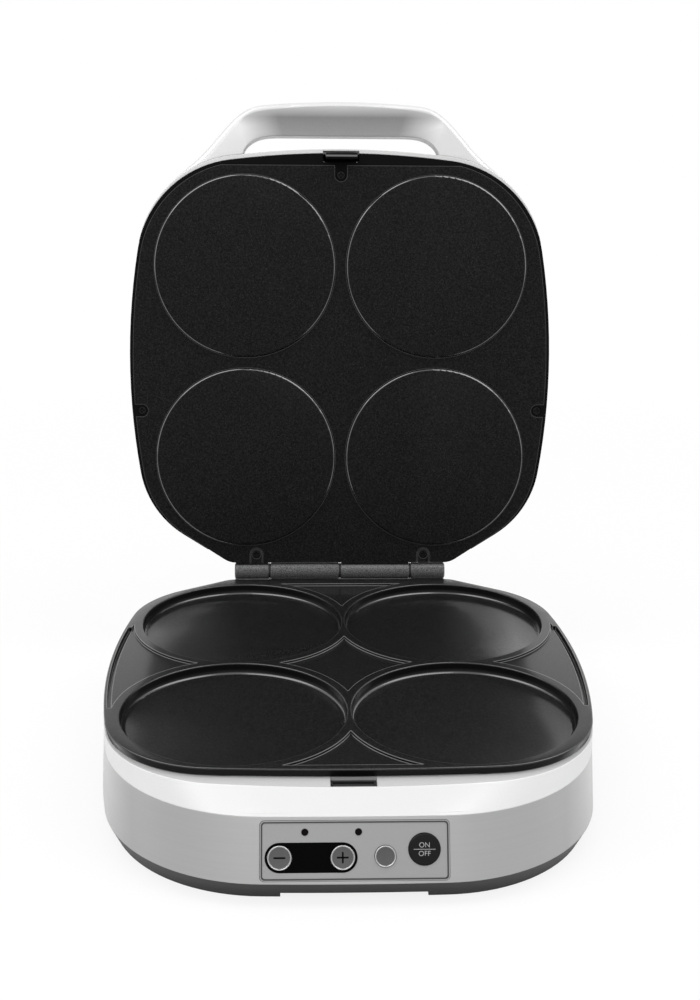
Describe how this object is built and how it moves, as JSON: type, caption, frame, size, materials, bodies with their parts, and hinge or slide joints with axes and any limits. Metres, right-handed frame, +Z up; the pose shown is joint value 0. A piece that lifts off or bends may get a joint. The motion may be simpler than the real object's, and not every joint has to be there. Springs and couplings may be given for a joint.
{
  "type": "crepe maker",
  "caption": "Countertop crepe maker with shallow round pans under a hinged latching lid, a steel housing and a push-button control panel.",
  "frame": {"origin": "centre of the bounding box at the table, with the lid standing open", "axes": "+Z up, the control panel faces -Y, the hinge runs along X at the back"},
  "size_m": [0.2716, 0.3762, 0.3522],
  "materials": {
    "silver_plastic": "satin",
    "handle_plastic": "satin",
    "panel_plastic": "satin",
    "black_plastic": "matt",
    "frame_grey": "satin",
    "wall_steel": "fine brushed",
    "screw_steel": "satin",
    "pin_steel": "ground",
    "zinc_steel": "zinc plated",
    "plate_coating": "matt with a fine speckle",
    "shield_sheet": "mill finish",
    "heater_sheath": "dull",
    "sensor_ceramic": "plain",
    "circuit_board": "satin",
    "window_black": "polished",
    "display_dark": "plain",
    "lamp_lens": "clear dark",
    "button_metal": "satin centre",
    "button_black": "polished",
    "relay_case": "plain",
    "transformer_wrap": "plain",
    "capacitor_sleeve": "plain",
    "terminal_nylon": "plain",
    "foot_rubber": "matt"
  },
  "bodies": {
    "base": {"base_bezel": "silver_plastic", "base_tray": "black_plastic", "board_screws": "screw_steel", "button_switches": "black_plastic", "catch_screws": "screw_steel", "control_board": "circuit_board", "control_panel": "panel_plastic", "cord_gland": "black_plastic", "display_module": "display_dark", "display_window": "window_black", "heater_relay": "relay_case", "hinge_pin": "pin_steel", "housing_wall": "wall_steel", "latch_catch": "zinc_steel", "lower_clip_screws": "screw_steel", "lower_heat_shield": "shield_sheet", "lower_heater": "heater_sheath", "lower_heater_clips": "zinc_steel", "lower_plate": "plate_coating", "lower_plate_screws": "screw_steel", "lower_shield_screws": "screw_steel", "lower_thermal_fuse": "sensor_ceramic", "lower_thermostat": "sensor_ceramic", "panel_frame": "frame_grey", "power_board": "circuit_board", "power_board_screws": "screw_steel", "power_lamp": "lamp_lens", "ready_lamp": "lamp_lens", "rubber_feet": "foot_rubber", "smoothing_capacitor": "capacitor_sleeve", "terminal_block": "terminal_nylon", "transformer": "transformer_wrap", "tray_screws": "screw_steel"},
    "lid": {"handle": "handle_plastic", "handle_screws": "screw_steel", "latch_pin": "pin_steel", "latch_spring": "zinc_steel", "lid_cover": "silver_plastic", "lid_frame": "black_plastic", "lid_plate_screws": "screw_steel", "upper_clip_screws": "screw_steel", "upper_heat_shield": "shield_sheet", "upper_heater": "heater_sheath", "upper_heater_clips": "zinc_steel", "upper_plate": "plate_coating", "upper_shield_screws": "screw_steel", "upper_thermal_fuse": "sensor_ceramic"},
    "latch_hook": {"latch_hook": "black_plastic"},
    "minus_button": {"minus_button": "button_metal"},
    "plus_button": {"plus_button": "button_metal"},
    "extra_button": {"extra_button": "button_metal"},
    "start_button": {"start_button": "button_black"}
  },
  "joints": [
    {"name": "lid_hinge", "type": "hinge", "parent": "base", "child": "lid", "pos_m": [0, 0.10837, 0.0574], "axis": [1, 0, 0], "range_deg": [0, 100.4]},
    {"name": "latch_release", "type": "hinge", "parent": "lid", "child": "latch_hook", "pos_m": [0, 0.16385, 0.31481], "axis": [-1, 0, 0], "range_deg": [0, 7], "stiffness_Nm_per_rad": 0.3},
    {"name": "minus_press", "type": "slide", "parent": "base", "child": "minus_button", "axis": [0, 0.8919, -0.4523], "range_m": [0, 0.0008], "stiffness_N_per_m": 800},
    {"name": "plus_press", "type": "slide", "parent": "base", "child": "plus_button", "axis": [0, 0.8919, -0.4523], "range_m": [0, 0.0008], "stiffness_N_per_m": 800},
    {"name": "extra_press", "type": "slide", "parent": "base", "child": "extra_button", "axis": [0, 0.8919, -0.4523], "range_m": [0, 0.0008], "stiffness_N_per_m": 800},
    {"name": "start_press", "type": "slide", "parent": "base", "child": "start_button", "axis": [0, 0.8919, -0.4523], "range_m": [0, 0.0008], "stiffness_N_per_m": 800}
  ]
}
